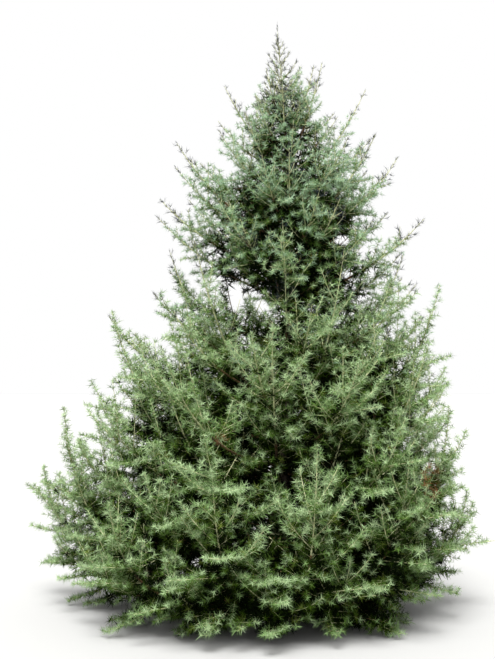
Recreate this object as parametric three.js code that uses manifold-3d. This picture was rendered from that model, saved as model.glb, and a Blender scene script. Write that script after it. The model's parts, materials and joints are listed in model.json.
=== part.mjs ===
// A young blue deodar cedar, 3.7 m tall, grown in the open with its skirt of boughs down to the ground.
// Millimetres, +Z up. The origin is in the flat cut under the trunk, at ground level.
// Headings are compass angles in plan: 0 is +X, 90 is +Y (the back), 180 is -X, 270 is -Y (the front).
import * as THREE from 'three';
import { mergeVertices } from 'three/addons/utils/BufferGeometryUtils.js';
import Module from 'manifold-3d';

const wasm = await Module();
wasm.setup();

// Driving dimensions
const clearance = 0.35; // left between pieces that touch
const groundClearance = 12; // the lowest that foliage hangs
const growthSeed = 7;

const trunk = {
  foot: new THREE.Vector3(0, 0, 0),
  bow: new THREE.Vector3(205, 30, 1900), // control point: the stem bows to the right and comes back
  tip: new THREE.Vector3(35, 0, 3700), // tip of the leader
  topShare: 0.885, // share of the leader's line that is trunk, below the top foliage
  radius: 52, // above the flare
  topRadius: 7,
  flare: 26, // extra radius at the ground
  flareHeight: 90,
  buttresses: 5,
  sides: 15,
  rings: 9,
};

// Each limb leaves the trunk at rootHeight, on its heading, and ends at its reach and tip height. The rows
// are [rootHeight, heading, reach, tipHeight]. elbowOut and elbowRise place the bend between the two, as
// shares of the reach and of the climb. bare is the share of the limb that is a bough with no foliage node.
const tiers = [
  {
    name: 'skirt',
    elbowOut: 0.93,
    elbowRise: -0.2,
    bare: 0.3,
    rootRadius: 17,
    midRadius: 11,
    plumeRadius: 104,
    shoots: 6,
    shootLength: 600,
    shootRadius: 92,
    shootRise: 0.12,
    limbs: [
      [210, 190, 1330, 1310],
      [130, 222, 1270, 800],
      [200, 252, 1180, 1000],
      [140, 280, 1160, 1150],
      [210, 309, 1150, 1080],
      [170, 337, 1120, 1330],
      [120, 4, 1250, 760],
      [220, 37, 1230, 1090],
      [140, 78, 1210, 960],
      [230, 121, 1260, 1160],
      [150, 165, 1600, 880],
    ],
  },
  {
    name: 'middle',
    elbowOut: 0.74,
    elbowRise: 0.1,
    bare: 0,
    rootRadius: 15,
    midRadius: 15,
    plumeRadius: 100,
    shoots: 5,
    shootLength: 560,
    shootRadius: 88,
    shootRise: 0.24,
    limbs: [
      [690, 184, 1080, 1900],
      [600, 212, 830, 1480],
      [760, 264, 800, 1690],
      [560, 296, 860, 1420],
      [680, 328, 1010, 1700],
      [900, 355, 990, 2070],
      [860, 50, 930, 1880],
      [760, 98, 900, 1720],
      [840, 142, 980, 1900],
    ],
  },
  {
    name: 'waist',
    elbowOut: 0.66,
    elbowRise: 0.2,
    bare: 0,
    rootRadius: 13,
    midRadius: 13,
    plumeRadius: 94,
    shoots: 4,
    shootLength: 470,
    shootRadius: 76,
    shootRise: 0.26,
    limbs: [
      [1180, 220, 740, 2310],
      [1270, 171, 770, 2300],
      [1500, 266, 520, 2120],
      [1120, 298, 690, 2250],
      [1290, 12, 790, 2290],
      [1300, 78, 780, 2150],
    ],
  },
  {
    name: 'upper',
    elbowOut: 0.62,
    elbowRise: 0.28,
    bare: 0,
    rootRadius: 11,
    midRadius: 11,
    plumeRadius: 76,
    shoots: 4,
    shootLength: 370,
    shootRadius: 62,
    shootRise: 0.3,
    limbs: [
      [2130, 178, 830, 2620],
      [2330, 197, 740, 2940],
      [1960, 236, 560, 2440],
      [2290, 268, 480, 2860],
      [1880, 264, 430, 2300],
      [2140, 301, 560, 2560],
      [2380, 331, 600, 2980],
      [1960, 346, 860, 2470],
      [2260, 8, 720, 2910],
      [2080, 55, 640, 2750],
      [2300, 95, 560, 2960],
      [2190, 137, 640, 2800],
    ],
  },
  {
    name: 'top',
    elbowOut: 0.58,
    elbowRise: 0.34,
    bare: 0,
    rootRadius: 8,
    midRadius: 8,
    plumeRadius: 46,
    shoots: 3,
    shootLength: 230,
    shootRadius: 36,
    shootRise: 0.3,
    limbs: [
      [2800, 184, 400, 3340],
      [2640, 226, 400, 3120],
      [2860, 262, 230, 3300],
      [2830, 312, 320, 3440],
      [2640, 352, 500, 3310],
      [2980, 20, 200, 3500],
      [2720, 64, 380, 3250],
      [2780, 128, 330, 3290],
      [3060, 216, 150, 3440],
    ],
  },
];

// A spray of needles is a slim core with needles standing out of it: the rings of the core have a point at
// every other side, and the points of one ring stand over the hollows of the next.
const spray = {
  point: 1.36, // radius of the points, as a share of the core's
  hollow: 0.56,
  sweep: 0.45, // how far the points are swept towards the tip, as a share of the ring spacing
  widest: 0.4, // share of the length where the core is widest
  tipWidth: 0.14,
};
const plume = { sides: 6, rings: 5, neck: 0, neckWidth: 0.6 };
const shoot = {
  sides: 4,
  rings: 4,
  neck: 0.2, // share of the length that is a bare twig
  neckWidth: 0.12,
  lean: 56, // degrees from the stem at its root
  leanAtTip: 36,
  firstShare: 0.05,
  lastShare: 0.78,
  goldenTurn: 137.5, // degrees round the stem from one shoot to the next
  flatten: 24, // degrees that a shoot is turned towards the flat of its plume
};
const smallerSizes = [1, 0.8, 0.62, 0.46]; // tried in turn where there is less room
const stemSides = 3;
const stemRings = 2;
const stemShare = 0.6; // share of a plume that its woody stem runs through before it is lost in the core
const stemTipRadius = 3;
const boughSides = 5;
const boughRings = 3;

const barkMaterial = new THREE.MeshStandardMaterial({ color: 0x6b5a4a, roughness: 0.92, metalness: 0 });
const needleMaterial = new THREE.MeshStandardMaterial({ color: 0x6f8f7a, roughness: 0.75, metalness: 0 });

// A repeatable number from 0 to 1 for any set of whole-number keys
function chance(...keys) {
  const mixed = keys.reduce((sum, key, place) => sum + key * (12.9898 + 37.719 * place), growthSeed);
  const wave = Math.sin(mixed) * 43758.5453;
  return wave - Math.floor(wave);
}

function mix(a, b, share) {
  return a + (b - a) * share;
}

// Lines that stems follow
const leaderLine = new THREE.QuadraticBezierCurve3(trunk.foot, trunk.bow, trunk.tip);

function trunkRadius(share) {
  const height = leaderLine.getPoint(share).z;
  const taper = mix(trunk.radius, trunk.topRadius, (share / trunk.topShare) ** 0.85);
  return taper + trunk.flare * Math.exp(-height / trunk.flareHeight);
}

// The point of the trunk's centre line at a height: z is a quadratic in the share along the line.
function trunkCentre(height) {
  const a = trunk.tip.z - 2 * trunk.bow.z;
  const b = 2 * trunk.bow.z;
  const share = (2 * height) / (b + Math.sqrt(b * b + 4 * a * height));
  return leaderLine.getPoint(share);
}

function limbLine(tier, [rootHeight, heading, reach, tipHeight]) {
  const root = trunkCentre(rootHeight);
  const angle = THREE.MathUtils.degToRad(heading);
  const outward = new THREE.Vector3(Math.cos(angle), Math.sin(angle), 0);
  const climb = tipHeight - rootHeight;
  const elbow = root.clone().addScaledVector(outward, reach * tier.elbowOut);
  elbow.z += climb * tier.elbowRise;
  const tip = root.clone().addScaledVector(outward, reach);
  tip.z = tipHeight;
  return new THREE.QuadraticBezierCurve3(root, elbow, tip);
}

// The flat of a plume: a level vector across its line and one square to both
function frameAt(line, share) {
  const along = line.getTangent(share);
  const chord = line.getPoint(1).sub(line.getPoint(0));
  const across = new THREE.Vector3(-chord.y, chord.x, 0);
  if (across.length() < chord.length() * 0.05) across.set(1, 0, 0);
  across.addScaledVector(along, -across.dot(along)).normalize();
  return { along, across, up: new THREE.Vector3().crossVectors(across, along).negate() };
}

// Solids
function toSolid(geometry) {
  const bare = geometry.index ? geometry.toNonIndexed() : geometry.clone();
  bare.deleteAttribute('normal');
  bare.deleteAttribute('uv');
  const merged = mergeVertices(bare, 1e-3);
  const mesh = new wasm.Mesh({
    numProp: 3,
    vertProperties: merged.attributes.position.array,
    triVerts: new Uint32Array(merged.index.array),
  });
  mesh.merge();
  return new wasm.Manifold(mesh);
}

function toGeometry(solid) {
  const mesh = solid.getMesh();
  const geometry = new THREE.BufferGeometry();
  geometry.setAttribute('position', new THREE.BufferAttribute(mesh.vertProperties, 3));
  geometry.setIndex(new THREE.BufferAttribute(mesh.triVerts, 1));
  return geometry;
}

// Moves every vertex of a geometry to the place that the function gives
function reshape(geometry, place) {
  const position = geometry.attributes.position;
  const vertex = new THREE.Vector3();
  for (let i = 0; i < position.count; i += 1) {
    place(vertex.fromBufferAttribute(position, i));
    position.setXYZ(i, vertex.x, vertex.y, vertex.z);
  }
  return geometry;
}

// A turned profile, bent along the line between two shares: radiusAt takes the share of the line
function limbSolid(line, from, to, radiusAt, sides, rings) {
  const profile = [new THREE.Vector2(0, 0)];
  for (let ring = 0; ring <= rings; ring += 1) {
    const share = ring / rings;
    profile.push(new THREE.Vector2(radiusAt(mix(from, to, share)), share));
  }
  profile.push(new THREE.Vector2(0, 1));
  const turned = new THREE.LatheGeometry(profile, sides);
  return toSolid(
    reshape(turned, (v) => {
      const share = mix(from, to, v.y);
      const { across, up } = frameAt(line, share);
      const offset = across.multiplyScalar(v.x).addScaledVector(up, -v.z);
      v.copy(line.getPoint(share)).add(offset);
    }),
  );
}

// The trunk's rings stay level, so its foot is a flat cut on the ground
function trunkSolid(grow = 0) {
  const profile = [new THREE.Vector2(0, 0)];
  for (let ring = 0; ring <= trunk.rings; ring += 1) {
    const share = (ring / trunk.rings) ** 1.5;
    profile.push(new THREE.Vector2(trunkRadius(share * trunk.topShare) + grow, share));
  }
  profile.push(new THREE.Vector2(0, 1));
  const turned = new THREE.LatheGeometry(profile, trunk.sides);
  return toSolid(
    reshape(turned, (v) => {
      const centre = leaderLine.getPoint(v.y * trunk.topShare);
      const angle = Math.atan2(v.z, v.x);
      const swell = 1 + 0.16 * Math.cos(trunk.buttresses * angle) * Math.exp(-centre.z / trunk.flareHeight);
      v.set(centre.x + v.x * swell, centre.y - v.z * swell, centre.z + grow * v.y);
    }),
  );
}

// The width of a spray along its length, as a share of its widest
function sprayWidth(share, { neck, neckWidth }) {
  if (share <= neck) return neckWidth;
  if (share < spray.widest) return mix(neckWidth, 1, (share - neck) / (spray.widest - neck));
  return mix(1, spray.tipWidth, (share - spray.widest) / (1 - spray.widest));
}

// A sphere's poles become the root and the tip, and its rings become the points and hollows between them
function spraySolid(line, from, radius, form) {
  const { sides, rings } = form;
  const sphere = new THREE.SphereGeometry(1, sides, rings + 1);
  return toSolid(
    reshape(sphere, (v) => {
      const ring = Math.round((Math.acos(THREE.MathUtils.clamp(-v.y, -1, 1)) / Math.PI) * (rings + 1));
      const column = Math.round((Math.atan2(v.z, v.x) / (2 * Math.PI)) * sides);
      const isPole = ring === 0 || ring === rings + 1;
      const isPoint = (ring + column) % 2 === 0;
      const share = ring / (rings + 1);
      const swept = isPoint && !isPole ? share + spray.sweep / (rings + 1) : share;
      const place = mix(from, 1, swept);
      const width = isPole ? 0 : radius * sprayWidth(share, form) * (isPoint ? spray.point : spray.hollow);
      const angle = (column / sides) * 2 * Math.PI;
      const { across, up } = frameAt(line, place);
      const offset = across.multiplyScalar(width * Math.cos(angle)).addScaledVector(up, -width * Math.sin(angle));
      v.copy(line.getPoint(place)).add(offset);
    }),
  );
}

// Growth
// The lines of the side shoots of a plume, in order from its root. Each leans out from the stem, round it by
// the golden angle but turned towards the flat of the plume, and its tip turns up.
function shootLines(tier, line, from, key) {
  const count = tier.shoots;
  const lines = [];
  for (let i = 0; i < count; i += 1) {
    const share = count > 1 ? i / (count - 1) : 0;
    const place = mix(from, 1, mix(shoot.firstShare, shoot.lastShare, share));
    const { along, across, up } = frameAt(line, place);
    const turn = (i + key) * shoot.goldenTurn + 30 * (chance(key, i, 1) - 0.5);
    const flat = turn - shoot.flatten * Math.sin(THREE.MathUtils.degToRad(2 * turn));
    const round = THREE.MathUtils.degToRad(flat);
    const lean = THREE.MathUtils.degToRad(mix(shoot.lean, shoot.leanAtTip, share));
    const outward = across.multiplyScalar(Math.cos(round)).addScaledVector(up, Math.sin(round));
    const direction = along.multiplyScalar(Math.cos(lean)).addScaledVector(outward, Math.sin(lean));
    const rise = outward.z < -0.2 ? 0 : tier.shootRise;
    const length = tier.shootLength * mix(1, 0.5, share) * mix(0.85, 1.1, chance(key, i, 2));
    lines.push((size) => {
      const root = line.getPoint(place);
      const elbow = root.clone().addScaledVector(direction, length * size * 0.55);
      const tip = root.clone().addScaledVector(direction, length * size * 0.92);
      tip.z += length * size * rise;
      return new THREE.QuadraticBezierCurve3(root, elbow, tip);
    });
  }
  return lines;
}

// The pieces, kept in one list so that growth can keep clear of what is there already
const pieces = [];

function addPiece(name, tierName, material, parts) {
  const piece = { name, tierName, material, parts };
  pieces.push(piece);
  return piece;
}

function isClear(solid, owner) {
  if (solid.boundingBox().min[2] < groundClearance) return false;
  return pieces.every(
    (other) =>
      other === owner || other.parts.every((part) => !boxesMeet(part, solid) || part.minGap(solid, 1) > clearance),
  );
}

function boxesMeet(a, b) {
  const boxA = a.boundingBox();
  const boxB = b.boundingBox();
  return [0, 1, 2].every((i) => boxA.min[i] - 1 < boxB.max[i] && boxB.min[i] - 1 < boxA.max[i]);
}

const trunkPiece = addPiece('trunk', 'trunk', barkMaterial, [trunkSolid()]);
const trunkWithClearance = trunkSolid(clearance);

// The first of the sizes that leaves the solid clear of everything, or nothing
function fitted(owner, makeSolid) {
  for (const size of smallerSizes) {
    const solid = makeSolid(size);
    if (isClear(solid, owner)) return solid;
  }
  return null;
}

// Boughs, and the woody stems of the masses that go on from them or leave the trunk
const masses = [];
tiers.forEach((tier, tierIndex) => {
  tier.limbs.forEach((limb, limbIndex) => {
    const line = limbLine(tier, limb);
    const label = String(limbIndex + 1).padStart(2, '0');
    if (tier.bare > 0) {
      const radiusAt = (share) => mix(tier.rootRadius, tier.midRadius, share / tier.bare);
      const bough = limbSolid(line, 0, tier.bare, radiusAt, boughSides, boughRings);
      addPiece(`${tier.name}_bough_${label}`, tier.name, barkMaterial, [bough.subtract(trunkWithClearance)]);
    }
    const from = tier.bare > 0 ? tier.bare + clearance / line.getLength() : 0;
    masses.push({ name: `${tier.name}_foliage_${label}`, tier, line, from, key: 10 * (tierIndex + 1) + limbIndex });
  });
});
const topTier = tiers[tiers.length - 1];
masses.push({
  name: 'leader_foliage',
  tier: { ...topTier, name: 'leader', shoots: 5, shootLength: 180, midRadius: trunk.topRadius },
  line: leaderLine,
  from: trunk.topShare - 0.004,
  key: 3,
});
masses.forEach((mass) => {
  const { tier, line, from } = mass;
  const radiusAt = (share) => mix(tier.midRadius * 0.94, stemTipRadius, (share - from) / (1 - from));
  const stem = limbSolid(line, from, mix(from, 1, stemShare), radiusAt, stemSides, stemRings);
  mass.piece = addPiece(mass.name, tier.name, needleMaterial, [stem.subtract(trunkWithClearance)]);
});

// The core of each plume, and then the side shoots in turn, one from each mass, so that every plume gets its
// share of the room. A spray that would touch a limb or another plume is made smaller or left out.
masses.forEach(({ tier, line, from, piece }) => {
  const start = tier.bare > 0 ? from : 0.12;
  const root = Math.max(start, from) + 0.02;
  const core = fitted(piece, (size) =>
    spraySolid(line, root, tier.plumeRadius * size, plume),
  );
  if (core) piece.parts.push(core);
});
masses.forEach((mass) => {
  const { tier, line, from, key } = mass;
  mass.shootLines = shootLines(tier, line, Math.max(from, 0.12), key);
});
const mostShoots = Math.max(...masses.map((mass) => mass.shootLines.length));
for (let turn = 0; turn < mostShoots; turn += 1) {
  masses.forEach(({ tier, piece, shootLines: lines }) => {
    if (turn >= lines.length) return;
    const side = fitted(piece, (size) =>
      spraySolid(lines[turn](size), 0, tier.shootRadius * Math.sqrt(size), shoot),
    );
    if (side) piece.parts.push(side);
  });
}

// The tree
const cedar = new THREE.Group();
const groups = new Map();
pieces.forEach(({ name, tierName, material, parts }) => {
  const solid = wasm.Manifold.union(parts);
  const largest = solid.decompose().reduce((a, b) => (a.volume() > b.volume() ? a : b));
  const geometry = toGeometry(largest);
  geometry.computeBoundingBox();
  const place = new THREE.Vector3(geometry.boundingBox.min.x, geometry.boundingBox.min.y, 0).round();
  geometry.translate(-place.x, -place.y, 0);
  const mesh = new THREE.Mesh(geometry, material);
  mesh.name = name;
  mesh.position.copy(place);
  if (!groups.has(tierName)) {
    groups.set(tierName, new THREE.Group());
    cedar.add(groups.get(tierName));
  }
  groups.get(tierName).add(mesh);
});

export default cedar;
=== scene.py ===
# Young blue deodar cedar: bark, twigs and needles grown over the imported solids
import json
import math

import bpy
import numpy as np
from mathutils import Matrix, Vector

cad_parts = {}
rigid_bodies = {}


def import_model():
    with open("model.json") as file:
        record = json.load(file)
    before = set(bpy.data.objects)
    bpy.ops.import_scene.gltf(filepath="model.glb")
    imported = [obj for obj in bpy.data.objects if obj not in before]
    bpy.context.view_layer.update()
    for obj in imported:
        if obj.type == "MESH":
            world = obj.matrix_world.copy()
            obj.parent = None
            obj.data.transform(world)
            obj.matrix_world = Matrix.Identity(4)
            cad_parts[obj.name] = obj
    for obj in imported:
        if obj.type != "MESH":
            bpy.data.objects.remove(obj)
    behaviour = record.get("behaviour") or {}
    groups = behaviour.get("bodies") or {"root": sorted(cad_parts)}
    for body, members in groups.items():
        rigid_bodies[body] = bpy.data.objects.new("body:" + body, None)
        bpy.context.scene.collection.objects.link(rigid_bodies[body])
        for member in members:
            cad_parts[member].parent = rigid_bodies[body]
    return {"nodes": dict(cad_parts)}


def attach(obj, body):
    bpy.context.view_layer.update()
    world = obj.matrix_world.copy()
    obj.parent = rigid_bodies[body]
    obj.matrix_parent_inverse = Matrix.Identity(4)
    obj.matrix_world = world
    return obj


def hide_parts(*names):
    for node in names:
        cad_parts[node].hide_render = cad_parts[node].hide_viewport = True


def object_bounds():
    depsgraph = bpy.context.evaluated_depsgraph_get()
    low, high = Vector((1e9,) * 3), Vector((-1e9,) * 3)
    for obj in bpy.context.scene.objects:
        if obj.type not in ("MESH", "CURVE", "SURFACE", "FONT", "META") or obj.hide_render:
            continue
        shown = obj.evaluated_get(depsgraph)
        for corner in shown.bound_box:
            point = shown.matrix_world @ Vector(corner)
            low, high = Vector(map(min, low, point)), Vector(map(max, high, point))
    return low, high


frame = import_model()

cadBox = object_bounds()
cadLow, cadHigh = (np.array(corner) for corner in cadBox)
barkNodes = sorted(n for n in frame["nodes"] if n == "trunk" or "_bough_" in n)
leafNodes = sorted(n for n in frame["nodes"] if n.endswith("_foliage") or "_foliage_" in n)
print("frame loaded:", len(barkNodes), "limbs,", len(leafNodes), "masses of foliage")

up3 = np.array([0.0, 0.0, 1.0])
goldenTurn = 137.5  # degrees round a stem from one shoot to the next


def clearSelection():
    bpy.ops.object.select_all(action="DESELECT")


def chance(*keys):  # a repeatable number from 0 to 1
    mixed = 7.0
    for place, key in enumerate(keys):
        mixed = mixed + key * (12.9898 + 37.719 * place)
    wave = np.sin(mixed) * 43758.5453
    return wave - np.floor(wave)


def mix(a, b, share):
    return a + (b - a) * share


def unit(v):
    return v / np.maximum(np.linalg.norm(v, axis=-1, keepdims=True), 1e-9)


def rowsOf(arrays, chosen):  # the same rows of every array in a dictionary
    return {name: values[chosen] for name, values in arrays.items()}


# Materials
def newPaint(name, roughness, specular):
    paint = bpy.data.materials.new(name)
    paint.use_nodes = True
    shader = paint.node_tree.nodes["Principled BSDF"]
    shader.inputs["Roughness"].default_value = roughness
    shader.inputs["Specular IOR Level"].default_value = specular
    return paint, shader


def mottle(paint, tones, stops, noise, stretch):  # a dark and a light tone, dealt out by noise
    nodes, links = paint.node_tree.nodes, paint.node_tree.links
    where = nodes.new("ShaderNodeTexCoord")
    scaled = nodes.new("ShaderNodeMapping")
    scaled.inputs["Scale"].default_value = stretch
    links.new(where.outputs["Object"], scaled.inputs["Vector"])
    blotches = nodes.new("ShaderNodeTexNoise")
    for socket, value in noise.items():
        blotches.inputs[socket].default_value = value
    links.new(scaled.outputs["Vector"], blotches.inputs["Vector"])
    ramp = nodes.new("ShaderNodeValToRGB")
    for stop, place, tone in zip(ramp.color_ramp.elements, stops, tones):
        stop.position, stop.color = place, (*tone, 1)
    links.new(blotches.outputs["Fac"], ramp.inputs["Fac"])
    links.new(ramp.outputs["Color"], nodes["Principled BSDF"].inputs["Base Color"])
    return blotches


# Camera, light and floor
view = {
    "place": (-0.156, -7.0, 1.6), "tiltUp": 1.49, "lens": 59.93, "sensor": 36, "farthest": 200,
    "sky": 1.0, "key": 6.6, "keyPlace": (-1, -4, 8), "keyTurn": (27, -5), "keyAngle": 30,
    "floor": (0.37, 0.368, 0.361), "floorRoughness": 0.9, "floorSpecular": 0.5,
    "floorSide": 80, "floorHeight": -0.002,
}


def addStudio():
    clearSelection()
    turn = (math.radians(90 + view["tiltUp"]), 0, 0)
    bpy.ops.object.camera_add(location=view["place"], rotation=turn)
    camera = bpy.context.object
    camera.name = "camera"
    camera.data.lens = view["lens"]
    camera.data.sensor_width = view["sensor"]
    camera.data.clip_end = view["farthest"]
    bpy.context.scene.camera = camera

    world = bpy.data.worlds.new("paleSky")
    world.use_nodes = True
    sky = world.node_tree.nodes["Background"]
    sky.inputs["Color"].default_value = (1, 1, 1, 1)
    sky.inputs["Strength"].default_value = view["sky"]
    bpy.context.scene.world = world
    bpy.context.scene.view_settings.view_transform = "Standard"

    clearSelection()
    turn = (*(math.radians(angle) for angle in view["keyTurn"]), 0)
    bpy.ops.object.light_add(type="SUN", location=view["keyPlace"], rotation=turn)
    key = bpy.context.object
    key.name = "softKey"
    key.data.energy = view["key"]
    key.data.angle = math.radians(view["keyAngle"])

    clearSelection()
    bpy.ops.mesh.primitive_plane_add(size=view["floorSide"], location=(0, 0, view["floorHeight"]))
    floor = bpy.context.object
    floor.name = "floor"
    paint, shader = newPaint("paleFloor", view["floorRoughness"], view["floorSpecular"])
    shader.inputs["Base Color"].default_value = (*view["floor"], 1)
    floor.data.materials.append(paint)
    print("studio: camera, key light and floor")


# The tree's plan, in metres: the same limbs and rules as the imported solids
trunk = {
    "foot": (0, 0, 0), "bow": (0.205, 0.030, 1.9), "tip": (0.035, 0, 3.7),
    "top": 3.28, "topShare": 0.885,  # where the leader's foliage takes over from the trunk
    "radius": 0.052, "topRadius": 0.007, "taper": 0.85, "flare": 0.026, "flareHeight": 0.09,
    "paintedSkyLight": 3.69,  # the axis is read no higher than this
}

# Each limb: root height, heading, reach and tip height, in millimetres and degrees as in the solids
tiers = {
    "skirt": {
        "elbowOut": 0.93, "elbowRise": -0.2, "bare": 0.3, "rootRadius": 17, "midRadius": 11,
        "shoots": 6, "shootLength": 600, "shootRise": 0.26, "needle": 43,
        "limbs": [
            (210, 190, 1330, 1310), (130, 222, 1270, 800), (200, 252, 1180, 1000),
            (140, 280, 1160, 1150), (210, 309, 1150, 1080), (170, 337, 1120, 1330),
            (120, 4, 1250, 760), (220, 37, 1230, 1090), (140, 78, 1210, 960),
            (230, 121, 1260, 1160), (150, 165, 1600, 880)]},
    "middle": {
        "elbowOut": 0.74, "elbowRise": 0.1, "bare": 0, "midRadius": 15,
        "shoots": 5, "shootLength": 560, "shootRise": 0.36, "needle": 42,
        "limbs": [
            (690, 184, 1080, 1900), (600, 212, 830, 1480), (760, 264, 800, 1690),
            (560, 296, 860, 1420), (680, 328, 1010, 1700), (900, 355, 990, 2070),
            (860, 50, 930, 1880), (760, 98, 900, 1720), (840, 142, 980, 1900)]},
    "waist": {
        "elbowOut": 0.66, "elbowRise": 0.2, "bare": 0, "midRadius": 13,
        "shoots": 4, "shootLength": 470, "shootRise": 0.26, "needle": 40,
        "limbs": [
            (1180, 220, 740, 2310), (1270, 171, 770, 2300), (1500, 266, 520, 2120),
            (1120, 298, 690, 2250), (1290, 12, 790, 2290), (1300, 78, 780, 2150)]},
    "upper": {
        "elbowOut": 0.62, "elbowRise": 0.28, "bare": 0, "midRadius": 11,
        "shoots": 4, "shootLength": 370, "shootRise": 0.3, "needle": 36,
        "limbs": [
            (2130, 178, 830, 2620), (2330, 197, 740, 2940), (1960, 236, 560, 2440),
            (2290, 268, 480, 2860), (1880, 264, 430, 2300), (2140, 301, 560, 2560),
            (2380, 331, 600, 2980), (1960, 346, 860, 2470), (2260, 8, 720, 2910),
            (2080, 55, 640, 2750), (2300, 95, 560, 2960), (2190, 137, 640, 2800)]},
    "top": {
        "elbowOut": 0.58, "elbowRise": 0.34, "bare": 0, "midRadius": 8,
        "shoots": 3, "shootLength": 230, "shootRise": 0.3, "needle": 28,
        "limbs": [
            (2800, 184, 400, 3340), (2640, 226, 400, 3120), (2860, 262, 230, 3300),
            (2830, 312, 320, 3440), (2640, 352, 500, 3310), (2980, 20, 200, 3500),
            (2720, 64, 380, 3250), (2780, 128, 330, 3290), (3060, 216, 150, 3440)]},
}
tierNames = list(tiers)
leaderKey = 3  # a limb's key seeds its chances; the solids' own limbs have 10 to 58
firstFillKey = 100


# Lines: quadratic Beziers held as arrays of root, elbow and tip
uprightUnder = 0.05  # a line is upright when its level run is under this share of its length


def pointOn(lines, share):
    share = np.asarray(share)[..., None]
    return (1 - share) ** 2 * lines[0] + 2 * share * (1 - share) * lines[1] + share ** 2 * lines[2]


def tangentOn(lines, share):
    share = np.asarray(share)[..., None]
    return unit((1 - share) * (lines[1] - lines[0]) + share * (lines[2] - lines[1]))


def frameOn(lines, share):  # along the line, level across it, and square to both
    along = tangentOn(lines, share)
    chord = lines[2] - lines[0]
    across = np.stack([-chord[..., 1], chord[..., 0], 0 * chord[..., 0]], axis=-1)
    upright = np.linalg.norm(across, axis=-1) < np.linalg.norm(chord, axis=-1) * uprightUnder
    across = np.where(upright[..., None], np.array([1.0, 0, 0]), across)
    across = unit(across - along * np.sum(across * along, axis=-1, keepdims=True))
    return along, across, np.cross(along, across)


leaderLine = np.array([trunk["foot"], trunk["bow"], trunk["tip"]], float)


def trunkShare(height):
    a, b = leaderLine[2, 2] - 2 * leaderLine[1, 2], 2 * leaderLine[1, 2]
    return 2 * height / (b + np.sqrt(b * b + 4 * a * height))


def trunkRadius(share):
    height = pointOn(leaderLine, share)[..., 2]
    tapered = (share / trunk["topShare"]) ** trunk["taper"]
    radius = mix(trunk["radius"], trunk["topRadius"], tapered)
    return radius + trunk["flare"] * np.exp(-height / trunk["flareHeight"])


def axisShare(points):  # how far up the trunk's line each point is
    return trunkShare(np.clip(points[:, 2], 0, trunk["paintedSkyLight"]))


def offAxis(points):  # level steps from the trunk's line out to the points
    return (points - pointOn(leaderLine, axisShare(points))) * [1, 1, 0]


def limbLine(shape, limb):
    rootHeight, reach, tipHeight = (limb[i] / 1000 for i in (0, 2, 3))
    heading = math.radians(limb[1])
    root = pointOn(leaderLine, trunkShare(rootHeight))
    outward = np.array([math.cos(heading), math.sin(heading), 0])
    elbow = root + outward * reach * shape["elbowOut"]
    elbow = elbow + up3 * (tipHeight - rootHeight) * shape["elbowRise"]
    tip = root + outward * reach
    tip[2] = tipHeight
    return np.array([root, elbow, tip])


crown = {
    "heights": [0, 0.8, 1.3, 1.9, 2.25, 2.5, 3.05, 3.3, 3.5, 3.7],
    "radii": [1.3, 1.42, 1.25, 1.0, 0.84, 0.78, 0.5, 0.24, 0.1, 0.03],
}


def crownRadius(height):
    return np.interp(height, crown["heights"], crown["radii"])


# The photo's frame, for the gaps where sky shows, the sprays that have died and the dark hollows.
# Each spot is an ellipse: its middle and its half width and height, in pixels.
picture = {"width": 495, "horizon": 358, "focal": 1097}
skyGaps = [
    (236, 298, 9, 14), (262, 306, 8, 7), (341, 241, 9, 6), (346, 275, 6, 5),
    (231, 164, 3, 4), (244, 230, 3, 3), (228, 204, 3, 4), (228, 236, 4, 3),
    (270, 268, 4, 3), (197, 288, 4, 5), (311, 240, 4, 3), (295, 251, 3, 3)]
wideGaps = skyGaps[:4]  # no fill limb crosses these
deadSprays = [(430, 480, 9, 20), (220, 441, 9, 7)]
hollows = [
    (264, 380, 19, 30), (270, 442, 17, 20), (171, 417, 17, 18), (327, 449, 18, 19),
    (154, 580, 12, 22), (269, 517, 20, 9), (353, 561, 9, 15), (219, 454, 11, 15),
    (198, 555, 9, 13), (212, 404, 20, 9), (289, 413, 8, 13), (276, 547, 8, 11)]
hollowFrom = 0.55  # share of the crown's radius where the sprays part over a hollow


def inPicture(points):
    depth = points[:, 1] - view["place"][1]
    x = picture["width"] / 2 + picture["focal"] * (points[:, 0] - view["place"][0]) / depth
    y = picture["horizon"] - picture["focal"] * (points[:, 2] - view["place"][2]) / depth
    return x, y


def inside(points, spots):
    x, y = inPicture(points)
    found = np.zeros(len(points), bool)
    for centreX, centreY, halfWidth, halfHeight in spots:
        found |= ((x - centreX) / halfWidth) ** 2 + ((y - centreY) / halfHeight) ** 2 < 1
    return found


def overHollow(points):  # the outer space in front of a dark hollow
    outer = np.linalg.norm(offAxis(points), axis=1) > hollowFrom * crownRadius(points[:, 2])
    return inside(points, hollows) & outer & (points[:, 1] < 0)


# Bark
barkLook = {
    "trunkSpan": (-0.02, 3.285), "trunkRing": 0.018, "trunkSides": 12,
    "boughRings": 36, "boughSides": 6, "boughRoot": 0.02,  # a bough starts this deep in the trunk
    "relief": 0.005, "boughRelief": 0.0022, "noise": 0.35, "turbulence": 9, "midLevel": 0.6,
    "grain": (0.03, 0.03, 0.11),  # ridges longer than they are wide
    "trunkTones": ((0.045, 0.033, 0.025), (0.19, 0.15, 0.12)), "trunkCracks": 38,
    "boughTones": ((0.055, 0.038, 0.026), (0.2, 0.155, 0.115)), "boughCracks": 60,
    "stops": (0.35, 0.68), "stretch": (1, 1, 0.28),  # cracks run up the stem
    "crackDetail": 8, "crackRoughness": 0.65, "bump": 0.6, "bumpDepth": 0.004,
    "roughness": 0.92, "specular": 0.25,
}


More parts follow.
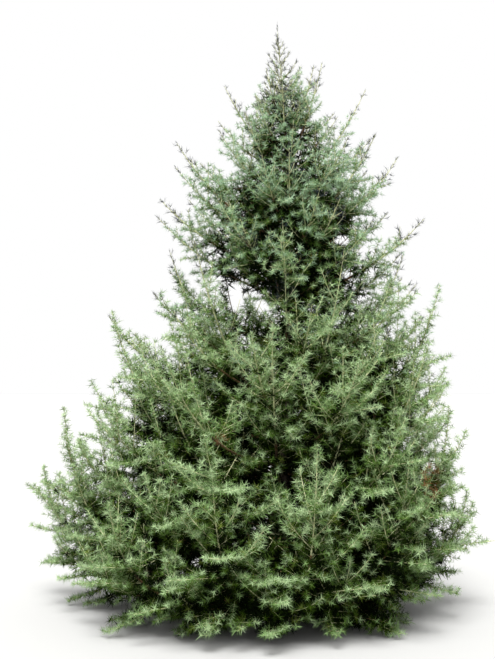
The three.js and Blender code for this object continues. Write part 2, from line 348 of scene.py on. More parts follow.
def barkMaterial(name, tones, cracks):
    paint, shader = newPaint(name, barkLook["roughness"], barkLook["specular"])
    noise = {"Scale": cracks, "Detail": barkLook["crackDetail"],
             "Roughness": barkLook["crackRoughness"]}
    blotches = mottle(paint, tones, barkLook["stops"], noise, barkLook["stretch"])
    nodes, links = paint.node_tree.nodes, paint.node_tree.links
    bump = nodes.new("ShaderNodeBump")
    bump.inputs["Strength"].default_value = barkLook["bump"]
    bump.inputs["Distance"].default_value = barkLook["bumpDepth"]
    links.new(blotches.outputs["Fac"], bump.inputs["Height"])
    links.new(bump.outputs["Normal"], shader.inputs["Normal"])
    return paint


def barkStem(name, points, radii, sides, relief, paint, flatFoot=False):
    clearSelection()
    bpy.ops.curve.primitive_nurbs_path_add()
    stem = bpy.context.object
    stem.name = name
    stem.data.splines.clear()
    path = stem.data.splines.new("POLY")
    path.points.add(len(points) - 1)
    for point, place, radius in zip(path.points, points, radii):
        point.co = (*place, 1)
        point.radius = radius
    stem.data.bevel_depth = 1
    stem.data.bevel_resolution = sides
    stem.data.use_fill_caps = True
    stem.data.twist_mode = "Z_UP"
    bpy.ops.object.convert(target="MESH")
    stem = bpy.context.object
    bpy.ops.object.mode_set(mode="EDIT")
    bpy.ops.mesh.select_all(action="SELECT")
    bpy.ops.mesh.remove_doubles(threshold=0.0001)
    if flatFoot:  # the cut at ground level
        bpy.ops.mesh.bisect(plane_co=(0, 0, 0), plane_no=(0, 0, 1), clear_inner=True, use_fill=True)
    bpy.ops.mesh.select_all(action="SELECT")
    bpy.ops.mesh.normals_make_consistent(inside=False)
    bpy.ops.object.mode_set(mode="OBJECT")
    bpy.ops.object.shade_smooth()

    ridges = bpy.data.textures.new(name + "Ridges", "STUCCI")
    ridges.noise_scale = barkLook["noise"]
    ridges.turbulence = barkLook["turbulence"]
    bpy.ops.object.empty_add(location=(0, 0, 0))
    grain = bpy.context.object
    grain.scale = barkLook["grain"]
    clearSelection()
    stem.select_set(True)
    bpy.context.view_layer.objects.active = stem
    push = stem.modifiers.new("ridges", "DISPLACE")
    push.texture = ridges
    push.texture_coords = "OBJECT"
    push.texture_coords_object = grain
    push.strength = relief
    push.mid_level = barkLook["midLevel"]
    bpy.ops.object.modifier_apply(modifier="ridges")
    bpy.data.objects.remove(grain)
    if flatFoot:
        for corner in stem.data.vertices:
            corner.co.z = max(corner.co.z, 0)
    stem.data.materials.clear()
    stem.data.materials.append(paint)
    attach(stem, "root")
    return stem


def addBark():
    trunkPaint = barkMaterial("trunkBark", barkLook["trunkTones"], barkLook["trunkCracks"])
    boughPaint = barkMaterial("boughBark", barkLook["boughTones"], barkLook["boughCracks"])
    heights = np.arange(*barkLook["trunkSpan"], barkLook["trunkRing"])
    shares = trunkShare(np.maximum(heights, 0))
    points = pointOn(leaderLine, shares)
    points[:, 2] = heights
    stem = barkStem("trunkBarkMesh", points, trunkRadius(shares), barkLook["trunkSides"],
                    barkLook["relief"], trunkPaint, True)
    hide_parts("trunk")
    tier = tiers["skirt"]
    bare, rings = tier["bare"], barkLook["boughRings"]
    for i, limb in enumerate(tier["limbs"]):
        line = limbLine(tier, limb)
        first = barkLook["boughRoot"] / np.linalg.norm(line[1] - line[0])
        shares = np.maximum(np.linspace(0, bare, rings), first)
        radii = mix(tier["rootRadius"], tier["midRadius"], shares / bare) / 1000
        points = pointOn(line, np.linspace(first, bare, rings))
        bough = barkStem(f"boughBarkMesh{i + 1:02d}", points, radii, barkLook["boughSides"],
                         barkLook["boughRelief"], boughPaint)
        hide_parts(f"skirt_bough_{i + 1:02d}")
    print("bark: trunk and", len(tier["limbs"]), "boughs")


# Growth. A set of stems is a dictionary of arrays: the lines, their lengths, and what they grow on.
growth = {
    "moreShoots": 2.8, "fillShoots": 2.4, "moreAtTop": 1.5,  # shoots for each one in the solids
    "leaderShoots": 12, "leaderShootLength": 0.18,
    "limbStart": 0.12, "fillStart": 0.14,  # shares of a limb with no shoots on them
    "lean": 58, "leanAtTip": 40, "flatten": 20, "lastShare": 0.78,
    "bendAt": 0.55, "straight": 0.92, "hanging": -0.2,  # those that start downwards don't rise
    "shootAtTip": 0.4, "shootAtHighTip": 0.2, "shootSpread": (0.8, 1.08), "shootTurn": 30,
    # barbs: short shoots all round a limb's end, their length by the needle's
    "barbPitch": 0.018, "barbStart": 0.42, "barbLength": 5.6, "barbLeast": 0.008, "barbLean": 10,
    "fillBarbPitch": 1.4, "fillBarbLength": 0.85, "barbTaper": 0.65, "barbAtTip": 0.08,
    "twigPitch": 0.031, "twigLean": 64, "twigLeanAtTip": 42, "twigShare": 0.4, "twigMost": 0.165,
    "twigLeast": 0.022, "twigStart": 0.06, "twigAtTip": 0.22, "twigRise": 0.12,
    "twigSpread": (0.75, 1.15), "twigFan": 64, "twigTurn": 18,
    "shootTest": 0.6, "twigTest": 0.7,  # where along them they are tested against hollows
    "twigEnd": 0.99, "twigTaper": 1.5, "tuftPitch": 0.027, "tuftShift": 0.5, "tuftTurn": 40,
    "foliageReach": 0.92,  # foliage is counted out on this share of a limb's length
    "highNeedle": 0.041,  # needles are shorter than this from the waist up
}

# How low a shoot or twig may end: it lies along the ground, lifted a little at the crown's front
ground = {"least": 0.035, "lift": 0.23, "front": -0.75, "depth": 0.55}

# Thinner limbs in the spaces between the solids' own: a spiral up the trunk
fill = {
    "count": 90, "foot": 0.3, "top": 3.28, "crowding": 1.25, "firstTurn": 40,
    "reach": 0.88, "reachSpread": (0.86, 1.06), "rise": 0.22,
    "leftward": 0.06,  # the crown is fuller on its left
    "climb": 0.5, "climbAtTop": 0.85, "tierFeet": [0.7, 1.2, 1.8, 2.65], "shapeBy": 1.6,
    "outward": np.linspace(0.2, 1, 9),  # where a limb is tested against gaps and hollows
}
fillFoot = {"elbowOut": 0.9, "elbowRise": 0.0}  # low ones turn up at their ends
fillTop = {"elbowOut": 0.6, "elbowRise": 0.3}
flanks = [  # a few that fill the crown's left and right edges
    (820, 172, 960, 1750), (640, 187, 1060, 1480), (300, 177, 1290, 1080),
    (220, 183, 1480, 830), (850, 4, 800, 1850), (800, 350, 840, 1650)]
between = {"rootHeight": 110, "tipHeight": 500, "reach": 0.43, "leftward": 0.045}


def fillLimbs():
    made = [("middle", fillTop, limb) for limb in flanks]
    for i in range(fill["count"]):
        part = (i + 0.5) / fill["count"]
        height = mix(fill["foot"], fill["top"], part ** fill["crowding"])
        name = tierNames[int(np.digitize(height, fill["tierFeet"]))]
        heading = i * goldenTurn + fill["firstTurn"]
        climb = mix(fill["climb"], fill["climbAtTop"], part ** 2)
        reach = fill["reach"] * mix(*fill["reachSpread"], chance(i, 8))
        reach = reach * crownRadius(height + fill["rise"])
        reach *= 1 - fill["leftward"] * math.cos(math.radians(heading))
        limb = (height * 1000, heading, reach * 1000, (height + reach * climb) * 1000)
        turned = min(part * fill["shapeBy"], 1)
        shape = {key: mix(fillFoot[key], fillTop[key], turned) for key in fillTop}
        along = pointOn(limbLine(shape, limb), fill["outward"])
        if not inside(along[:-1], wideGaps).any() and not overHollow(along[-2:]).any():
            made.append((name, shape, limb))

    # low ones between the skirt's boughs
    skirt = sorted(tiers["skirt"]["limbs"], key=lambda limb: limb[1])
    for limb, other in zip(skirt, skirt[1:] + skirt[:1]):
        heading = limb[1] + (other[1] - limb[1]) % 360 * 0.5
        share = between["reach"] - between["leftward"] * math.cos(math.radians(limb[1]))
        reach = (limb[2] + other[2]) * share
        limb = (between["rootHeight"], heading, reach, between["tipHeight"])
        made.append(("skirt", tiers["skirt"], limb))
    return made


def limbStems():
    lines, starts, names, keys = [], [], [], []
    for number, (name, tier) in enumerate(tiers.items()):
        for i, limb in enumerate(tier["limbs"]):
            lines.append(limbLine(tier, limb))
            starts.append(max(tier["bare"], growth["limbStart"]))
            names.append(name)
            keys.append(10 * (number + 1) + i)
    lines.append(leaderLine)
    starts.append(trunk["topShare"])
    names.append("top")
    keys.append(leaderKey)
    for i, (name, shape, limb) in enumerate(fillLimbs()):
        lines.append(limbLine(shape, limb))
        starts.append(growth["fillStart"])
        names.append(name)
        keys.append(firstFillKey + i)
    lines = np.array(lines).transpose(1, 0, 2)
    length = sum(np.linalg.norm(lines[i + 1] - lines[i], axis=1) for i in (0, 1))
    return {
        "lines": lines, "start": np.array(starts), "tier": np.array(names), "key": np.array(keys),
        "length": length * growth["foliageReach"],
        "needle": np.array([tiers[name]["needle"] / 1000 for name in names]),
    }


def sideLines(parents, share, turn, lean, length, rise):
    along, across, upward = frameOn(parents, share)
    flat = np.radians(turn - growth["flatten"] * np.sin(np.radians(2 * turn)))[:, None]
    lean = np.radians(lean)[:, None]
    outward = across * np.cos(flat) + upward * np.sin(flat)
    direction = along * np.cos(lean) + outward * np.sin(lean)
    root = pointOn(parents, share)
    length = length[:, None]
    rise = np.where(outward[:, 2] < growth["hanging"], 0, rise)[:, None]
    elbow = root + direction * length * growth["bendAt"]
    tip = root + direction * length * growth["straight"] + up3 * length * rise
    for ends in (elbow, tip):
        forward = np.clip(ground["front"] - ends[:, 1], 0, ground["depth"])
        ends[:, 2] = np.maximum(ends[:, 2], ground["least"] + ground["lift"] * forward)
    return np.array([root, elbow, tip])


def growShoots(limbs):
    parent, share, turn, size, order = [], [], [], [], []
    for m, (name, key) in enumerate(zip(limbs["tier"], limbs["key"])):
        tier, high, leader = tiers[name], name in ("upper", "top"), key == leaderKey
        more = growth["moreShoots" if key < firstFillKey else "fillShoots"]
        count = growth["leaderShoots"] if leader else round(tier["shoots"] * more)
        full = growth["leaderShootLength"] if leader else tier["shootLength"] / 1000
        atTip = growth["shootAtHighTip" if high else "shootAtTip"]
        if high:
            count = round(count * growth["moreAtTop"])
        for i in range(count):
            s = i / (count - 1)
            parent.append(m)
            share.append(mix(limbs["start"][m], 1, growth["lastShare"] * s))
            jitter = growth["shootTurn"] * (chance(key, i, 1) - 0.5)
            turn.append((i + key) * goldenTurn + jitter)
            size.append(full * mix(1, atTip, s) * mix(*growth["shootSpread"], chance(key, i, 2)))
            order.append(s)
    parent, share, turn, size, order = (np.array(x) for x in (parent, share, turn, size, order))
    rise = np.array([tiers[limbs["tier"][m]]["shootRise"] for m in parent])
    lean = mix(growth["lean"], growth["leanAtTip"], order)
    made = sideLines(limbs["lines"][:, parent], share, turn, lean, size, rise)
    tested = pointOn(made, np.full(len(size), growth["shootTest"]))
    clear = ~overHollow(tested) & ~overHollow(made[2])
    return {"lines": made[:, clear], "parent": parent[clear], "length": size[clear]}


def carriersOf(limbs, shoots):  # what twigs grow on: the shoots, and then the limbs' own ends
    limbCount, shootCount = len(limbs["key"]), len(shoots["length"])
    own = limbs["key"] < firstFillKey
    needle = np.concatenate([limbs["needle"][shoots["parent"]], limbs["needle"]])
    twigPitch = np.full(shootCount, growth["twigPitch"])
    barbPitch = growth["barbPitch"] * np.where(own, 1, growth["fillBarbPitch"])
    twig = np.minimum(shoots["length"] * growth["twigShare"], growth["twigMost"])
    barb = growth["barbLength"] * limbs["needle"] * np.where(own, 1, growth["fillBarbLength"])
    twigStart = np.full(shootCount, growth["twigStart"])
    barbStart = np.maximum(limbs["start"], growth["barbStart"])
    return {
        "lines": np.concatenate([shoots["lines"], limbs["lines"]], axis=1),
        "length": np.concatenate([shoots["length"], limbs["length"]]),
        "start": np.concatenate([twigStart, barbStart]),
        "barbs": np.arange(shootCount + limbCount) >= shootCount,
        "needle": needle,
        "high": needle < growth["highNeedle"],
        "pitch": np.concatenate([twigPitch, barbPitch]),
        "twig": np.concatenate([twig, barb]),
        "limb": np.concatenate([shoots["parent"], np.arange(limbCount)]),
    }


def growTwigs(carriers):  # in two ranks on a shoot, and all round on a limb's end
    parent, share, turn, size = [], [], [], []
    for m, length in enumerate(carriers["length"]):
        start, barbs, high = (carriers[key][m] for key in ("start", "barbs", "high"))
        count = int(length * (1 - start) / carriers["pitch"][m])
        least = growth["barbLeast" if barbs else "twigLeast"]
        for i in range(count):
            s = (i + 0.5) / count
            parent.append(m)
            share.append(mix(start, growth["twigEnd"], s))
            if barbs:
                turn.append(i * goldenTurn)
                taper = mix(1, growth["barbAtTip"], s ** (growth["barbTaper"] if high else 1.0))
            else:
                fan = growth["twigFan"] * (chance(m, i, 4) - 0.5)
                turn.append(180 * (i % 2) + fan + growth["twigTurn"])
                taper = mix(1, growth["twigAtTip"], s ** growth["twigTaper"])
            spread = mix(*growth["twigSpread"], chance(m, i, 5))
            size.append(max(carriers["twig"][m] * taper * spread, least))
    parent, share, turn, size = (np.array(x) for x in (parent, share, turn, size))
    barbs = carriers["barbs"][parent]
    lean = mix(growth["twigLean"], growth["twigLeanAtTip"], share) + growth["barbLean"] * barbs
    rise = np.full(len(size), growth["twigRise"])
    made = sideLines(carriers["lines"][:, parent], share, turn, lean, size, rise)
    clear = barbs | ~overHollow(pointOn(made, np.full(len(size), growth["twigTest"])))
    return {"lines": made[:, clear], "parent": parent[clear], "length": size[clear]}


leading = {"heights": [-0.1, -0.03, 0.045], "aside": 0.004, "length": 0.145, "pitch": 0.009}


def addLeadingTwig(twigs, carrier):  # the leader's last growth
    line = np.array([trunk["tip"]] * 3) + up3 * np.array(leading["heights"])[:, None]
    line[0, 0] += leading["aside"]
    twigs["pitch"] = np.append(np.full(len(twigs["length"]), growth["tuftPitch"]), leading["pitch"])
    twigs["lines"] = np.concatenate([twigs["lines"], line[:, None]], axis=1)
    twigs["length"] = np.append(twigs["length"], leading["length"])
    twigs["parent"] = np.append(twigs["parent"], carrier)


# Tufts of needles, on every stem. For each kind of stem: where they start, their pitch against
# the common one, their size at shares of the stem, where its tip starts and how long that is,
# and how far they are a brush along the stem in place of a star.
tuftLook = {
    "limb": {"inward": 0.8, "pitch": 0.95, "sizes": ([0.7, 0.93, 0.97], [0.6, 0.6, 0.85]),
             "tip": (0.75, 0.25), "brush": 0.35, "seed": 11},
    "shoot": {"bare": 0.1, "pitch": 0.85, "sizes": ([0.5, 1], [0.7, 0.8]),
              "tip": (0.55, 0.45), "brush": 0.7, "seed": 12},
    "twig": {"bare": 0.12, "pitch": 1, "sizes": ([0.5, 1], [1, 0.72]),
             "tip": (0.4, 0.6), "brush": 1.0, "seed": 13},
}
# Limbs and shoots are bare on the side that faces outward and up, but not at their tips
bareSide = {"facing": 0.72, "until": 0.85, "upward": 0.3}


def tuftsAlong(kind, lines, start, length, pitch, needle, limb, firstSpray):
    look = tuftLook[kind]
    rng = np.random.default_rng(look["seed"])
    count = np.maximum((length * (1 - start) / (pitch * look["pitch"])).astype(int), 1)
    stem = np.repeat(np.arange(len(length)), count)
    order = np.arange(len(stem)) - np.repeat(np.cumsum(count) - count, count)
    jitter = growth["tuftShift"] * (rng.random(len(stem)) - 0.5)
    share = mix(start[stem], 1, (order + 0.5 + jitter) / count[stem])
    along, across, upward = frameOn(lines[:, stem], share)
    turn = order * goldenTurn + growth["tuftTurn"] * rng.random(len(stem))
    turn = np.radians(turn)[:, None]
    tipFrom, tipLength = look["tip"]
    return {
        "place": pointOn(lines[:, stem], share), "along": along,
        "outward": across * np.cos(turn) + upward * np.sin(turn), "share": share,
        "size": needle[stem] * np.interp(share, *look["sizes"]),
        "tip": np.clip((share - tipFrom) / tipLength, 0, 1),
        "limb": limb[stem], "spray": stem + firstSpray,
        "brush": np.full(len(stem), look["brush"]),
    }


def bareOutside(tufts):
    outward = unit(unit(offAxis(tufts["place"])) + bareSide["upward"] * up3)
    facing = np.sum(tufts["outward"] * outward, axis=1)
    return rowsOf(tufts, (facing < bareSide["facing"]) | (tufts["share"] > bareSide["until"]))


def growTufts(limbs, shoots, twigs, carriers):
    limbCount, shootCount, pitch = len(limbs["key"]), len(shoots["length"]), growth["tuftPitch"]
    start = limbs["start"] * tuftLook["limb"]["inward"]
    onLimbs = tuftsAlong("limb", limbs["lines"], start, limbs["length"], pitch,
                         limbs["needle"], np.arange(limbCount), 0)
    start = np.full(shootCount, tuftLook["shoot"]["bare"])
    onShoots = tuftsAlong("shoot", shoots["lines"], start, shoots["length"], pitch,
                          carriers["needle"], shoots["parent"], limbCount)
    start = np.full(len(twigs["length"]), tuftLook["twig"]["bare"])
    onTwigs = tuftsAlong("twig", twigs["lines"], start, twigs["length"], twigs["pitch"],
                         carriers["needle"][twigs["parent"]], carriers["limb"][twigs["parent"]],
                         limbCount + shootCount)
    sets = (bareOutside(onLimbs), bareOutside(onShoots), onTwigs)
    return {name: np.concatenate([some[name] for some in sets]) for name in onLimbs}


space = {"floor": 0.02, "side": 0.02, "top": 0.06, "offTrunk": 0.004}  # what tufts keep to


def keepTufts(tufts):
    place = tufts["place"]
    share = np.minimum(axisShare(place), trunk["topShare"])
    fromTrunk = np.linalg.norm(offAxis(place), axis=1)
    most = cadHigh + [space["side"], space["side"], space["top"]]
    keep = (place[:, 2] > space["floor"]) & ~inside(place, skyGaps)
    keep &= np.all((place > cadLow - space["side"]) & (place < most), axis=1)
    keep &= (fromTrunk > trunkRadius(share) + space["offTrunk"]) | (place[:, 2] > trunk["top"])
    tufts = rowsOf(tufts, keep)
    tufts["outer"] = fromTrunk[keep] / crownRadius(tufts["place"][:, 2])
    return tufts


# The limbs from the waist up end in thin, sparse wisps, each as long as its reach from the tip
wisps = {
    "tiers": ("waist", "upper", "top"),
    "reach": 0.26, "topReach": 0.24, "leaderReach": 0.4, "elsewhere": 0.1, "atTips": 0.28,
    "needle": 0.5, "lowNeedle": 0.7, "along": 2.4, "thinned": 0.3, "end": 0.94,
}
forward = {"root": 0.45, "tip": 1.6, "up": 0.25}  # tufts lean forward towards a stem's tip


def thinWisps(tufts, limbs, rng):
    limb = tufts["limb"]
    high = np.isin(limbs["tier"], wisps["tiers"])[limb]
    own = limbs["key"][limb] < firstFillKey
    reach = np.where(limbs["tier"] == "top", wisps["topReach"], wisps["reach"])
    reach[limbs["key"] == leaderKey] = wisps["leaderReach"]
    fromTip = np.linalg.norm(tufts["place"] - limbs["lines"][2][limb], axis=1)
    wisp = np.clip(1 - fromTip / np.where(high & own, reach[limb], wisps["elsewhere"]), 0, 1)
    outside = np.clip(tufts["outer"] * 2 - 1, 0, 1)
    wisp = np.maximum(wisp, wisps["atTips"] * tufts["tip"] * outside)
    shorter = np.where(high, wisps["needle"], wisps["lowNeedle"])
    tufts["size"] = tufts["size"] * mix(1, shorter, wisp)
    tufts["wisp"] = wisp * high
    lengthwise = wisps["along"] * tufts["wisp"][:, None] * tufts["along"]
    tufts["outward"] = unit(tufts["outward"] + lengthwise)
    stay = rng.random(len(wisp)) > wisps["thinned"] * tufts["wisp"]
    tufts = rowsOf(tufts, stay | (tufts["share"] > wisps["end"]))
    lean = np.interp(tufts["tip"], [0, 1], [forward["root"], forward["tip"]])[:, None]
    lean = tufts["along"] * (lean - forward["root"]) + up3 * forward["up"]
    tufts["outward"] = unit(tufts["outward"] + lean)
    return tufts


block = 0.07  # side of a block of the grid that foliage is counted in
gridEdge = 8  # empty blocks on each side of it
coverReach = 6  # how many blocks are counted in each direction
coverDown = 0.4  # slope of the direction that looks down


def blockOf(points):
    return np.floor((points - cadLow) / block).astype(int) + gridEdge


def tuftGrid(place):  # how many tufts stand in each block of space
    cell = blockOf(place)
    grid = np.zeros(cell.max(axis=0) + gridEdge + 1)
    np.add.at(grid, tuple(cell.T), 1)
    for axis in range(3):
        grid = (np.roll(grid, 1, axis) + 2 * grid + np.roll(grid, -1, axis)) / 4
    return grid


def coverOf(place, grid):  # how much foliage lies outward and above, which sets the painted shade of needles and stems
    outward = unit(offAxis(place))
    cover = np.zeros(len(place))
    below = unit(outward - coverDown * up3)
    for direction in (outward, unit(outward + up3), up3 + 0 * outward, below):
        for step in range(1, coverReach + 1):
            probe = blockOf(place + direction * block * step)
            probe = np.clip(probe, 0, np.array(grid.shape) - 1)
            cover += grid[tuple(probe.T)]
    return cover


# Tints of the needles, dealt as painted shade: darkest where most foliage lies outward and above,
# palest on the outer sprays, which have the pale waxy bloom and are also painted lit; and then the
# yellower sprays, the dead ones and the closed buds
tints = {
    # painted shade: the darkest tint, near black, on larger needles deep inside the crown
    "deepShade": (0.003, 0.0078, 0.0001),
    "shade": (0.014, 0.03, 0.0008),
    "green": (0.038, 0.076, 0.005),
    "glaucous": (0.079, 0.146, 0.028),
    "pale": (0.157, 0.251, 0.094),
    "bloom": (0.292, 0.4, 0.206),
    "olive": (0.1, 0.138, 0.024),
    "rust": (0.15, 0.075, 0.03),
    "slate": (0.024, 0.03, 0.029),
}
tintNames = list(tints)
tintRule = {
    "steps": [0.565, 0.67, 0.775, 0.885, 1.06],  # scores that part the first six
    "tip": 0.3, "wisp": 0.6, "spread": 0.09, "spraySpread": 0.12,
    "heights": [1.3, 1.9, 2.2, 3.2], "paler": [0, 0.1, 0.12, 0.26],  # painted light: higher sprays are paler
    "wispFrom": 0.3, "wispLeast": 0.7, "olive": 0.10, "dead": 0.55, "slate": (3.4, 0.4),
    "seed": 5,
}
paintedSkyLight = {"from": 2.2, "spread": 0.3, "red": 0.95, "blue": 1.22}  # painted sky light: bluer from this height up


def dealTints(tufts, cover, rng):  # a tint for each tuft: painted shade by how much foliage lies outward and above it, paler near a tip
    rule, count = tintRule, len(cover)
    height, wisp = tufts["place"][:, 2], tufts["wisp"]
    # painted shade, with less bloom on the older needles inside: the more foliage outward and above
    # a tuft, the darker its tint
    rank = np.argsort(np.argsort(-cover)) / count
    score = rank + rule["tip"] * tufts["tip"] - rule["wisp"] * wisp
    score = score + rng.normal(0, rule["spread"], count)
    score += rng.normal(0, rule["spraySpread"], tufts["spray"].max() + 1)[tufts["spray"]]
    score += np.interp(height, rule["heights"], rule["paler"])
    score = np.where(wisp > rule["wispFrom"], np.maximum(score, rule["wispLeast"]), score)
    tint = np.digitize(score, rule["steps"])
    pale, olive, rust, slate = map(tintNames.index, ("pale", "olive", "rust", "slate"))
    yellower = (rng.random(count) < rule["olive"]) & (tint < pale) & (tint > 0)
    dead = inside(tufts["place"], deadSprays) & (rng.random(count) < rule["dead"])
    tint = np.where(dead, rust, np.where(yellower, olive, tint))
    tint = np.where(rng.random(count) < rule["slate"][0] * wisp - rule["slate"][1], slate, tint)
    # painted sky light: tufts high in the crown take a bluer copy of their tint
    underSkyLight = height + rng.normal(0, paintedSkyLight["spread"], count) > paintedSkyLight["from"]
    return tint, underSkyLight


# Needles, one face each
needleLook = {
    "inTuft": 13, "width": 0.0036, "fullWidthFrom": 0.045, "leastWidth": 0.35,
    "inside": 8, "insideWidth": 2.7, "insideLength": 1.5,  # where only their shade is seen
    # degrees off the tuft's axis, from the narrowest needle to the widest
    "star": (18, 104), "brush": (34, 84), "brushTip": 6, "brushTipFrom": 0.9, "closed": 36,
    "starForward": 0.55, "brushUp": 0.22, "offStem": 0.001,
    "lengths": (0.78, 1.12), "halfWidths": (0.42, 0.58),
    "roughness": 0.6, "specular": 0.05, "lowest": 0.003, "seed": 21,
}
mostTriangles = 190000


def needlesOf(tufts, count, length, width, seed):  # stars on old stems, and brushes all along twigs
    rng = np.random.default_rng(seed)
    look, along, outward = needleLook, tufts["along"], tufts["outward"]
    n = len(tufts["place"])
    brush = tufts["brush"][:, None]
    star = outward + look["starForward"] * along
    axis = unit(mix(star, along + look["brushUp"] * up3, brush))[:, None]
    side = unit(np.cross(axis, outward[:, None] + 0.001))
    third = np.cross(axis, side)
    narrow = np.where(tufts["share"] > look["brushTipFrom"], look["brushTip"], look["brush"][0])
    wide = np.where(tufts["closed"], look["closed"], look["brush"][1])
    narrow = np.cos(np.radians(mix(look["star"][0], narrow, tufts["brush"])))
    wide = np.cos(np.radians(mix(look["star"][1], wide, tufts["brush"])))
    cosine = mix(narrow[:, None], wide[:, None], rng.random((n, count)))[..., None]
    sine = np.sqrt(1 - cosine ** 2)
    turn = np.arange(count) * math.radians(goldenTurn) + rng.random((n, 1)) * 6.28
    turn = turn[..., None]
    direction = axis * cosine + (side * np.cos(turn) + third * np.sin(turn)) * sine
    size = length[:, None, None] * rng.uniform(*look["lengths"], (n, count, 1))
    half = width[:, None, None] * rng.uniform(*look["halfWidths"], (n, count, 1))
    flat = unit(np.cross(direction, rng.normal(size=(n, count, 3)))) * half
    shift = rng.uniform(-0.5, 0.5, (n, count, 1)) * growth["tuftPitch"] * brush[:, None]
    root = tufts["place"][:, None] + direction * look["offStem"] + along[:, None] * shift
    corners = np.stack([root - flat, root + flat, root + direction * size], axis=2)
    corners[..., 2] = np.maximum(corners[..., 2], look["lowest"])
    return corners.reshape(-1, 3)


def meshOf(name, corners, triangles, paint, smooth=False):
    made = bpy.data.meshes.new(name)
    made.vertices.add(len(corners))
    made.vertices.foreach_set("co", np.ascontiguousarray(corners, np.float32).ravel())
    made.loops.add(triangles.size)
    made.loops.foreach_set("vertex_index", triangles.astype(np.int32).ravel())
    made.polygons.add(len(triangles))
    made.polygons.foreach_set("loop_start", np.arange(0, triangles.size, 3, dtype=np.int32))
    made.polygons.foreach_set("use_smooth", np.full(len(triangles), smooth))
    made.update(calc_edges=True)
    made.materials.append(paint)
    piece = bpy.data.objects.new(name, made)
    bpy.context.scene.collection.objects.link(piece)
    return piece


def addNeedles(tufts, tint, underSkyLight):
    made, look = 0, needleLook
    for number in range(2 * len(tints)):  # every tint as it is low down, and then its bluer copy, painted sky light
        kind, high = number % len(tints), number >= len(tints)
        name = tintNames[kind]
        some = rowsOf(tufts, (tint == kind) & (underSkyLight == high))
        count = len(some["size"])
        if not count:
            continue
        # the deep shade needles are larger and stand in for the shade inside the crown
        inner, closed = name == "deepShade", name == "slate"
        if inner or closed:
            some["brush"] = np.full(count, 1.0 if closed else 0.0)
        some["closed"] = np.full(count, closed)
        width = look["width"] * (look["insideWidth"] if inner else 1)
        width = width * np.minimum(look["leastWidth"] + some["size"] / look["fullWidthFrom"], 1)
        length = some["size"] * (look["insideLength"] if inner or closed else 1)
        inTuft = look["inside" if inner or closed else "inTuft"]
        needles = needlesOf(some, inTuft, length, width, look["seed"] + number)
        red, green, blue = tints[name]
        # the bluer copy of the tint is painted sky light on the upper crown
        if high:
            name, red, blue = name + "SkyLit", red * paintedSkyLight["red"], blue * paintedSkyLight["blue"]
        paint, shader = newPaint(name + "Needles", look["roughness"], look["specular"])
        shader.inputs["Base Color"].default_value = (red, green, blue, 1)
        parts = math.ceil(len(needles) / 3 / mostTriangles)
        for part, corners in enumerate(np.array_split(needles.reshape(-1, 9), parts)):
            triangles = np.arange(len(corners) * 3).reshape(-1, 3)
            piece = meshOf(f"{name}Needles{part + 1}", corners.reshape(-1, 3), triangles, paint)
            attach(piece, "root")
            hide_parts(*leafNodes)
            made += len(corners)
    print("needles:", made)


# Woody stems: weathered on the limbs' inner parts, straw outside; shoots and twigs under much
# foliage take the weathered tones as painted shade. Radii are in metres.
stemLook = {
    # weathered tones, which are also painted shade on shoots and twigs under much foliage
    "aged": ((0.045, 0.028, 0.018), (0.2, 0.115, 0.055)),
    "young": ((0.37, 0.385, 0.19), (0.6, 0.61, 0.36)), "stops": (0.38, 0.62), "blotches": 24,
    "roughness": 0.8, "specular": 0.3,
    "limb": 0.94, "fill": 0.7, "start": 0.02, "middle": 0.55, "leaderMiddle": 0.02, "end": 0.995,
    "atMiddle": 0.55, "limbTip": 0.0014, "thicker": 0.0045, "shady": 0.55, "lowest": 0.004,
    "limbRings": 9, "limbSides": 6, "tipSides": 5, "fineSides": 3,
    # for each finer kind: its radius before its length adds to it, the radius at its tip, its rings
    "shoot": (0.0024, 0.0015, 5), "twig": (0.0014, 0.0005, 0),
    "shadeAt": 0.6,  # how far along one its shade and the gaps are looked up
}


def stemMaterial(name, tones):
    paint = newPaint(name, stemLook["roughness"], stemLook["specular"])[0]
    mottle(paint, tones, stemLook["stops"], {"Scale": stemLook["blotches"]}, (1, 1, 1))
    return paint


def tubes(lines, fromShare, toShare, rootRadius, tipRadius, rings, sides):
    # one along each line, closed by a face at the root and by a point at the tip
    n = lines.shape[1]
    steps = np.linspace(0, 1, rings + 1)
    share = mix(fromShare[:, None], toShare[:, None], steps)
    spread = lines[:, :, None]
    along, across, upward = frameOn(spread + 0 * share[None, ..., None], share)
    centre = pointOn(spread, share)
    radius = mix(rootRadius[:, None], tipRadius[:, None], steps)[..., None, None]
    angle = (np.arange(sides) / sides * 2 * math.pi)[:, None]
    circle = across[:, :, None] * np.cos(angle) + upward[:, :, None] * np.sin(angle)
    wall = (centre[:, :, None] + circle * radius).reshape(n, -1, 3)
    end = pointOn(lines, toShare) + tangentOn(lines, toShare) * tipRadius[:, None] * 2
    corners = np.concatenate([wall, end[:, None]], axis=1)
    one = [(0, k + 1, k) for k in range(1, sides - 1)]
    for ring in range(rings):
        for k in range(sides):
            a, b = ring * sides + k, ring * sides + (k + 1) % sides
            one += [(a, b, b + sides), (a, b + sides, a + sides)]
    last = rings * sides
    one += [(last + k, last + (k + 1) % sides, last + sides) for k in range(sides)]
    triangles = np.array(one)[None] + np.arange(n)[:, None, None] * corners.shape[1]
    corners[..., 2] = np.maximum(corners[..., 2], stemLook["lowest"])
    return corners.reshape(-1, 3), triangles.reshape(-1, 3)


def stemPiece(name, shape, paint):
    piece = meshOf(name, *shape, paint, True)
    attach(piece, "root")
    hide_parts(*leafNodes)
    print("stems:", name, len(shape[1]), "triangles")


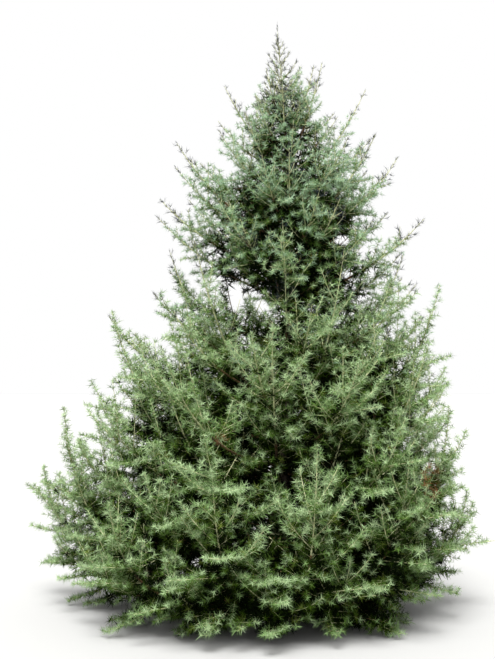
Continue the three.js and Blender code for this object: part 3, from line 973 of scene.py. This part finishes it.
def addStems(limbs, shoots, twigs, grid, shady):
    look, lines = stemLook, limbs["lines"]
    leader, filling = limbs["key"] == leaderKey, limbs["key"] >= firstFillKey
    aged, young = (stemMaterial(name + "Stem", look[name]) for name in ("aged", "young"))
    radius = np.array([tiers[name]["midRadius"] / 1000 * look["limb"] for name in limbs["tier"]])
    start = np.array([tiers[name]["bare"] for name in limbs["tier"]])
    radius[leader] = trunk["topRadius"]
    start[leader] = trunk["topShare"]
    radius[filling] *= look["fill"]
    start[filling] = 0.0
    start = np.maximum(start, look["start"])
    middle = mix(start, 1, np.where(leader, look["leaderMiddle"], look["middle"]))
    end = np.full(len(middle), look["end"])
    thinner, tip = radius * look["atMiddle"], np.full(len(middle), look["limbTip"])
    rings = look["limbRings"]
    shape = tubes(lines, start, middle, radius, thinner, rings, look["limbSides"])
    stemPiece("limbStems", shape, aged)
    shape = tubes(lines, middle, end, thinner, tip, rings, look["tipSides"])
    stemPiece("limbTips", shape, young)
    for name, some in (("shoot", shoots), ("twig", twigs)):
        thick, thin, rings = look[name]
        centre = pointOn(some["lines"], 0 * some["length"] + look["shadeAt"])
        kept = ~inside(centre, skyGaps)
        dark = coverOf(centre, grid) > shady
        # painted shade: shoots and twigs with much foliage outward and above them take the dark
        # weathered paint
        for tone, chosen, paint in (("Shaded", kept & dark, aged), ("Young", kept & ~dark, young)):
            size = some["length"][chosen]
            radius = thick + look["thicker"] * size
            shape = tubes(some["lines"][:, chosen], 0 * size, 0 * size + 1,
                          radius, 0 * size + thin, rings, look["fineSides"])
            stemPiece(name + tone, shape, paint)


def addFoliage():
    limbs = limbStems()
    shoots = growShoots(limbs)
    carriers = carriersOf(limbs, shoots)
    twigs = growTwigs(carriers)
    addLeadingTwig(twigs, len(shoots["length"]) + int(np.argmax(limbs["key"] == leaderKey)))
    print("growth:", len(limbs["key"]), "limbs,", len(shoots["length"]), "shoots,",
          len(twigs["length"]), "twigs")
    tufts = keepTufts(growTufts(limbs, shoots, twigs, carriers))
    print("tufts:", len(tufts["size"]))
    rng = np.random.default_rng(tintRule["seed"])
    tufts = thinWisps(tufts, limbs, rng)
    grid = tuftGrid(tufts["place"])
    cover = coverOf(tufts["place"], grid)
    addNeedles(tufts, *dealTints(tufts, cover, rng))
    addStems(limbs, shoots, twigs, grid, np.quantile(cover, stemLook["shady"]))


addStudio()
addBark()
addFoliage()
